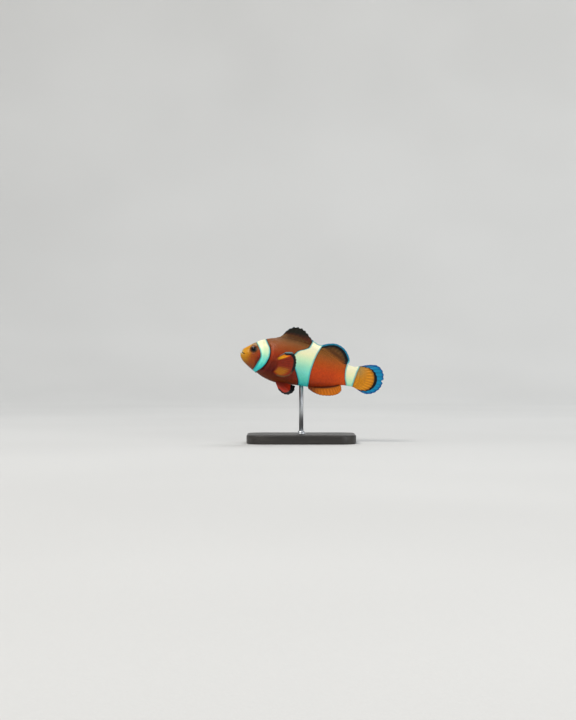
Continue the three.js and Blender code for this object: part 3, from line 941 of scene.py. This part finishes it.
def add_base_scales(name, leaf, lean, steps, reach):
    """Rows of small scales on both faces of a fin's base, shrinking away at a share reach(u) of its rays.

    The rows lean from the fin's own direction by an angle."""
    form, _, _ = leaf
    shares = np.linspace(0, 1, 60)
    flat = np.ones(len(shares))
    inner, halfway, outer = (form(shares, v * flat, flat)[0] for v in (0, 0.3, 1))
    length = np.linalg.norm(np.diff(halfway, axis=0), axis=1).sum()
    outward = np.linalg.norm(outer - inner, axis=1)

    def on_fin(back, up, u):
        """A step's shares along the fin and out, from how far back and up the rows it goes, at a share u."""
        out = (back * math.sin(lean) + up * math.cos(lean)) / np.interp(u, shares, outward)
        return (back * math.cos(lean) - up * math.sin(lean)) / length, out

    step, row_step = steps
    count = int((length + outward.max()) / min(steps))
    counted = np.arange(-count, count)
    row, column = (grid.ravel() for grid in np.meshgrid(counted, counted, indexing="ij"))
    back, up = (column + 0.5 * (row % 2)) * step, row * row_step
    u, _ = on_fin(back, up, 0)
    _, v = on_fin(back, up, u)
    grown = smooth(v, reach(u), 0.5 * reach(u)) * smooth(u, 0.0, 0.02) * smooth(u, 1, 0.97)
    # None is set where its lower edge would lie inside the body.
    lower = v + on_fin(0, -0.5 * SCALE_WIDTH * row_step, u)[1]
    place = form(np.clip(u, 0, 1), np.clip(lower, 0, 1), np.ones(len(u)))[1]
    proud = np.abs(place[:, 1]) - body_half_width(place[:, 0], place[:, 2])
    grown = grown * smooth(proud, -0.08, 0.04)
    keep = (v > 0.03) & (grown > SCALE_FLOOR)
    u, v, grown = (values[keep, None] for values in (u, v, grown))
    scale_back, scale_up, dome, rim, faces = scale_shape()
    height = scale_height(scale_back, dome, SCALE_LIFT * grown, grown).ravel()
    size = 0.6 + 0.4 * grown
    scale_back, scale_up = size * SCALE_LENGTH * step * scale_back, size * SCALE_WIDTH * row_step * scale_up
    past_u, past_v = on_fin(scale_back, scale_up, u)
    at_u, at_v = np.clip(u + past_u, 0, 1).ravel(), np.clip(v + past_v, 0, 1).ravel()
    places = [form(at_u, at_v, np.full(len(at_u), face), height)[1] for face in (1.0, -1.0)]
    patch_u = (0.48 * u + BAKE_PATCH * scale_up).ravel()
    patch_v = (0.01 + 0.98 * v + BAKE_PATCH * scale_back).ravel()
    patches = [np.stack([half + patch_u, patch_v], -1) for half in FACE_STARTS]
    tint = np.repeat(rng.uniform(0, 1, 2 * len(u)), len(rim))
    rims = np.tile(faded_rim(rim, grown), 2)
    mesh = joined_scales(name, in_place(np.concatenate(places)), faces, np.concatenate(patches), tint, rims)
    scales = add_mesh(name, mesh, scale_finish)
    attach(scales, "root")


def add_fin(name, leaf, material, nodes, mirror=1, fineness=(10, 44)):
    """A fin as a closed leaf, with the fields that its paint needs, and each face on half of the unwrap."""
    form, rim_line, rays = leaf
    bm = bmesh.new()
    bmesh.ops.create_grid(bm, x_segments=int(rays * fineness[0]), y_segments=fineness[1], size=1)
    near = len(bm.verts)
    bmesh.ops.extrude_face_region(bm, geom=bm.faces[:])
    grid = coordinates(bm)
    span, out = (grid[:, 0] + 1) / 2, ((grid[:, 1] + 1) / 2) ** 0.85
    face = np.where(np.arange(len(grid)) < near, 1.0, -1.0)
    middle, p, ridge = form(span, out, face)
    rim = np.linalg.norm(middle[:, None] - rim_line[None], axis=-1).min(1)
    move_to(bm, in_place(p * [1, mirror, 1]))
    bmesh.ops.recalc_face_normals(bm, faces=bm.faces)
    fin = add_object(name, bm, material)
    unwrap(fin.data, np.stack([np.where(face > 0, *FACE_STARTS) + 0.48 * span, 0.01 + 0.98 * out], -1))
    for field, values in zip(LEAF_FIELDS, (ridge, rim, out, span)):
        add_attribute(fin.data, field, values)
    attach(fin, "root")
    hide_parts(*nodes)


def new_fin_finish(name):
    """A fin's material, and the markings and the leaf's fields that it is painted by."""
    material, here = new_material(name, Coat_Weight=0.1, Coat_Roughness=0.2, Specular_IOR_Level=0.2)
    fields = {field: attribute(here, field) for field in LEAF_FIELDS}
    return material, SimpleNamespace(**vars(markings(here)), **fields)


def paint_fin(material, fin, tint):
    """Paints a fin, a little darker between its rays but in the pale bands, and gives the rays joints."""
    tint = ((1 - fin.ridge) * fin.depth.rise(0.3, 0.0) * 0.3).mix(tint, "86706a", "MULTIPLY")
    joints = (fin.out * RAY_JOINTS).sine() * fin.ridge
    shade(material, Base_Color=tint, Roughness=fin.ridge * 0.1 + 0.34, Normal=joints.bumps(0.00002, 0.25))


back_finish, fin = new_fin_finish("back_fin")
lobe = (fin.z + (fin.place.noise(0.7) - 0.5) * 2).rise(14.2, 17.2).mix("5c2a12", "1c1a10")
lobe = fin.rim.rise(0.6, 0.15).mix(lobe, "0a3a44")
soft = (fin.rim + (fin.place.noise(0.9) - 0.5) * 2).rise(5.0, 2.0).mix("6e4620", "4c3412")
black_width = fin.x.rise(46, 56) * 0.6 + 1.4
soft = (fin.rim - black_width).rise(0.9, 0.0).mix(soft, "04070c")
blue = fin.rim.rise(0.2, 0.9).mix("046c96", "0684a4")
soft = fin.rim.rise(1.05, 0.75).mix(soft, blue)
tint = fin.x.rise(39, 36).mix(soft, lobe)
tint = (fin.out.rise(0.05, 0.35) * fin.x.rise(18, 23)).mix(fin.painted, tint)
pale = (fin.rim.rise(0.8, 0.3) * 0.8).mix(fin.painted, "1c9cac")
paint_fin(back_finish, fin, fin.depth.rise(0.0, 0.25).mix(tint, pale))


def back_notch(u):
    """How far the membrane is cut back between rays, as a share of their length: more between the spines."""
    return np.where(u < BACK_SPINES, 0.07, 0.015)


roots = [(x, 0, outline_at(x)[0] - SUNK) for x, _, _ in BACK_RAYS]
tips = [(x, 0, z) for _, x, z in BACK_RAYS]
leaf = leaf_form(roots, tips, 25, 1.6, back_notch, BACK_SPINES, fleshy=0.38, upright=True)


def back_reach(u):
    """How far out its base scales go: to the tips in front, and least between the lobes."""
    return 0.6 + 0.4 * smooth(u, 0.22, 0.04) - 0.35 * hump(u - 0.53, 0.04)


add_fin("back_fin", leaf, back_finish, ["dorsal_fin_spiny", "dorsal_fin_soft"])
add_base_scales("back_fin_scales", leaf, math.radians(15), (0.75, 0.46), back_reach)

# ---- Belly fin ----
# The anal fin, under the rear of the body: fifteen rays in one rounded leaf. It is amber, with a thin dark
# rim, and a dark brown line along its root is painted shadow where it meets the body.
BELLY_RAYS = [
    # start x on the belly, tip x, tip z
    (40, 40.8, -11.8),
    (42.5, 44.0, -13.2),
    (45.5, 47.8, -13.9),
    (48.5, 51.4, -13.6),
    (51.5, 55.0, -12.7),
    (54, 57.6, -11.2),
    (56, 58.9, -9.2),
    (57.5, 58.6, -7.4),
]
belly_finish, fin = new_fin_finish("anal_fin")
amber = (fin.x + (fin.place.noise(0.9) - 0.5) * 4).rise(41, 49).mix("8a3c08", "d07004")
# The dark brown near the root is a painted shadow where the fin meets the body.
tint = fin.out.rise(0.22, 0.4).mix("5a1c08", amber)
tint = (fin.rim.rise(0.5, 0.15) * 0.6).mix(tint, "2c3038")
paint_fin(belly_finish, fin, fin.out.rise(0.08, 0.2).mix(fin.painted, tint))
roots = [(x, 0, outline_at(x)[1] + SUNK) for x, _, _ in BELLY_RAYS]
tips = [(x, 0, z) for _, x, z in BELLY_RAYS]
leaf = leaf_form(roots, tips, 14, 1.4, lambda u: 0.03, fleshy=0.33, upright=True)
add_fin("belly_fin", leaf, belly_finish, ["anal_fin"])

# ---- Tail fin ----
# A rounded fan of sixteen branching rays, rooted in the tail stalk. It is golden inside, then comes a black
# crescent, then a clear blue margin with a small split in its middle.
TAIL_RAYS = [
    # start x, start z, tip x, tip z
    (63.6, 5.0, 67.0, 6.4),
    (65.0, 4.5, 71.4, 8.2),
    (65.6, 3.5, 75.6, 8.6),
    (66.0, 2.2, 78.8, 6.5),
    (66.2, 0.8, 80.3, 2.8),
    (66.2, -0.7, 80.2, -1.2),
    (66.0, -2.1, 79.0, -4.2),
    (65.6, -3.4, 76.0, -7.0),
    (65.0, -4.5, 71.8, -8.0),
    (63.6, -5.0, 67.0, -6.4),
]
STRAIGHT_SIDES = 70.3  # where the fan's colours begin to round off


def oval(across, up, half_width, half_height):
    """Above 0 inside an oval, as a share of its size, and below 0 outside."""
    across, up = across / half_width, up / half_height
    return 1 - (across * across + up * up).root()


tail_finish, fin = new_fin_finish("tail_fin")
beyond = (fin.x - STRAIGHT_SIDES).most(0)
upward = fin.z + fin.ridge * 0.25
inside_gold = oval(beyond, upward, 5.2, 6.4)
inside_black = oval(beyond, upward, 6.7, 6.65)
tint = (inside_gold.rise(0.3, 0.0) * fin.x.rise(69, 72) * 0.6).mix(fin.painted, "7c4c10")
tint = inside_gold.rise(0.06, -0.03).mix(tint, "04070c")
blue = (fin.rim + (fin.ridge - 0.5) * 0.5).rise(0.2, 1.5).mix("044e90", "0684b0")
paint_fin(tail_finish, fin, inside_black.rise(0.02, -0.02).mix(tint, blue))


def tail_notch(u):
    """As for the back fin, with a split in the fan's middle."""
    return 0.02 + 0.05 * hump(u - 0.5, 0.03)


roots = [(x - SUNK, 0, z) for x, z, _, _ in TAIL_RAYS]
tips = [(x, 0, z) for _, _, x, z in TAIL_RAYS]
leaf = leaf_form(roots, tips, 15, 1.5, tail_notch, fleshy=0.3, upright=True)
add_fin("tail_fin", leaf, tail_finish, ["caudal_fin"], fineness=(14, 60))
add_base_scales("tail_fin_scales", leaf, math.radians(90), (0.62, 0.4), lambda u: 0.5)

# ---- Breast fins ----
# A paddle of seventeen rays on each side behind the gill covers, spread sideways to brake. It is deep red,
# with an amber patch and a black rim, and a flame from yellow to orange runs along its leading edge.
BREAST_RAYS = [
    # start x, start z, tip x, tip y, tip z
    (19.4, 0.8, 24.6, -12.0, 5.4),
    (19.8, 0.0, 28.3, -14.6, 5.9),
    (20.0, -1.1, 30.7, -16.0, 3.2),
    (20.1, -2.3, 31.4, -16.5, -0.6),
    (20.0, -3.5, 30.8, -16.0, -4.0),
    (19.8, -4.6, 28.8, -14.6, -6.9),
    (19.5, -5.6, 25.6, -12.2, -8.3),
    (19.2, -6.4, 22.4, -9.4, -8.2),
]
breast_finish, fin = new_fin_finish("breast_fin")
span, rim, out = fin.span, fin.rim, fin.out
tint = (fin.place.noise(0.8) - 0.1).mix("962804", "701a02")
amber = abs(span - 0.72).rise(0.26, 0.08) * out.rise(0.12, 0.3) * out.rise(0.9, 0.6)
tint = (amber * 0.95).mix(tint, "b06a04")
flame = ramp(out, 0.15, 0.8, "b87410", "ffb404", "ff9c04", "ff5010")
in_flame = span.rise(0.24, 0.18) * span.rise(0.045, 0.07) * out.rise(0.86, 0.76)
tint = in_flame.mix(tint, flame)
black_width = span.rise(0.66, 0.5) * 0.8 + span.rise(0.35, 0.2) * 0.4 + 0.5
black = span.rise(0.66, 0.52).mix("664624", "05060a")
tint = (rim - black_width).rise(0.35, -0.05).mix(tint, black)
pale_edge = span.rise(0.2, 0.12) * rim.rise(0.85, 0.55) + span.rise(0.03, 0.01) * out.rise(0.3, 0.6)
tint = pale_edge.mix(tint, "7aa0a4")
paint_fin(breast_finish, fin, out.rise(0.1, 0.22).mix(fin.painted, tint))


def root_on_side(x, z):
    """The place on the left side at x and height z, and a little inside it."""
    back, belly = outline_at(x)
    angle = math.pi - math.asin((z - (back + belly) / 2) / ((back - belly) / 2))
    return plain_body(share_at(x), angle) + [0, SUNK, 0]


roots = [root_on_side(x, z) for x, z, _, _, _ in BREAST_RAYS]
tips = [(x, y, z) for _, _, x, y, z in BREAST_RAYS]
leaf = leaf_form(roots, tips, 16, 1.3, lambda u: 0.02, bow=1.2)
for name, mirror in (("left", 1), ("right", -1)):
    add_fin("breast_fin_" + name, leaf, breast_finish, ["pectoral_fin_" + name], mirror)

# ---- Pelvic fins ----
# A pair of pointed fins side by side under the belly, swept back, each a leaf with seven branching rays.
# They are orange red with a broad black rear edge.
PELVIC_RAYS = [
    # start x, tip x, tip y, tip z
    (21.6, 25.0, -3.6, -15.9),
    (22.4, 27.8, -4.6, -17.3),
    (23.2, 30.8, -5.2, -17.2),
    (24.0, 33.2, -5.2, -15.0),
    (24.8, 33.5, -4.2, -11.9),
]
PELVIC_SIDE = 1.9
pelvic_finish, fin = new_fin_finish("pelvic_fin")
red = fin.out.rise(0.2, 0.75).mix("6e1804", "b42a08")
black_width = fin.span.rise(0.3, 0.9) * 1.7 + 0.7
paint_fin(pelvic_finish, fin, (fin.rim - black_width).rise(0.4, 0.0).mix(red, "040507"))
roots = [(x, -PELVIC_SIDE, outline_at(x)[1] + SUNK) for x, _, _, _ in PELVIC_RAYS]
tips = [(x, y, z) for _, x, y, z in PELVIC_RAYS]
leaf = leaf_form(roots, tips, 6, 1.1, lambda u: 0.02, bow=0.6, wave=0.1)
for name, mirror in (("left", 1), ("right", -1)):
    add_fin("hip_fin_" + name, leaf, pelvic_finish, ["pelvic_fin_" + name], mirror, (18, 44))

# ---- Stand ----
# A flat block of oak, stained black and rubbed to a dull shine, its corners rounded and its edges eased. It
# lies on the floor, and its weight holds the model up.
BASE_CORNER = 9 * MM
BASE_EDGE = 0.8 * MM
GRAIN_STRETCH = 14  # how much longer than wide the grain's streaks are

base_low, base_high = (Vector(corner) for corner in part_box("stand_base"))


def base_mesh():
    bm = bmesh.new()
    bmesh.ops.create_cube(bm, size=1)
    bmesh.ops.scale(bm, vec=base_high - base_low, verts=bm.verts)
    bmesh.ops.translate(bm, vec=(base_low + base_high) / 2, verts=bm.verts)
    upright = [edge for edge in bm.edges if abs(edge.verts[0].co.z - edge.verts[1].co.z) > BASE_EDGE]
    finish = {"affect": "EDGES", "profile": 0.5, "material": -1}
    bmesh.ops.bevel(bm, geom=upright, offset=BASE_CORNER, segments=14, **finish)
    outline = [edge for edge in bm.edges if abs(edge.verts[0].co.z - edge.verts[1].co.z) < BASE_EDGE]
    bmesh.ops.bevel(bm, geom=outline, offset=BASE_EDGE, segments=5, **finish)
    return bm


oak_finish, here = new_material("black_oak", Specular_IOR_Level=0.4, Coat_Weight=0.15, Coat_Roughness=0.3)
along = here.new("Mapping", None, {"Vector": here, "Scale": (1 / GRAIN_STRETCH, 1, 1)})
pores = along.noise(2600, 4).rise(0.56, 0.70)
figure = along.noise(420, 3).rise(0.3, 0.7)
shade(
    oak_finish,
    Base_Color=(pores * 0.7).mix(figure.mix("2c2926", "3b3733"), "141211"),
    Roughness=figure * 0.1 + pores * 0.2 + 0.42,
    Normal=(1 - pores).bumps(0.00004),
)
base = add_object("display_base", base_mesh(), oak_finish)
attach(base, "root")
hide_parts("stand_base")

# ---- Rod ----
# A drawn steel rod, let into the base through a small turned collar and cemented into the belly. It is
# brushed crosswise, so fine rings run round it.
COLLAR_RADIUS = 2.6
COLLAR_SUNK = 0.2  # how deep the collar's foot lies in the base
# How far in from the collar's widest, and how high over its foot, each corner lies, in millimetres.
COLLAR_PROFILE = [(0, 0), (0, 0.6), (0.15, 0.75), (0.7, 0.8), (0.8, 1.55), (1.0, 1.8)]

rod_low, rod_high = (Vector(corner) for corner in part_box("stand_rod"))
rod_radius = (rod_high.x - rod_low.x) / 2
rod_axis = ((rod_low.x + rod_high.x) / 2, (rod_low.y + rod_high.y) / 2)

steel_finish, here = new_material("brushed_steel", Metallic=1.0)
rings = here.new("Mapping", None, {"Vector": here, "Scale": (0.03, 0.03, 1)}).noise(9000, 3)
shade(
    steel_finish,
    Base_Color=rings.mix("a8abad", "c6c8ca"),
    Roughness=rings * 0.14 + 0.3,
    Normal=rings.bumps(0.000004),
)
rod_profile = [(0, rod_low.z), (rod_radius, rod_low.z), (rod_radius, rod_high.z), (0, rod_high.z)]
rod = add_object("display_rod", turned_mesh(rod_profile, 48, rod_axis), steel_finish)
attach(rod, "root")
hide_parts("stand_rod")

collar_foot = base_high.z - COLLAR_SUNK * MM
collar_profile = [((COLLAR_RADIUS - inward) * MM, collar_foot + up * MM) for inward, up in COLLAR_PROFILE]
collar_profile = [(0, collar_foot), *collar_profile, (0, collar_profile[-1][1])]
collar = add_object("rod_collar", turned_mesh(collar_profile, 48, rod_axis), steel_finish)
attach(collar, "root")
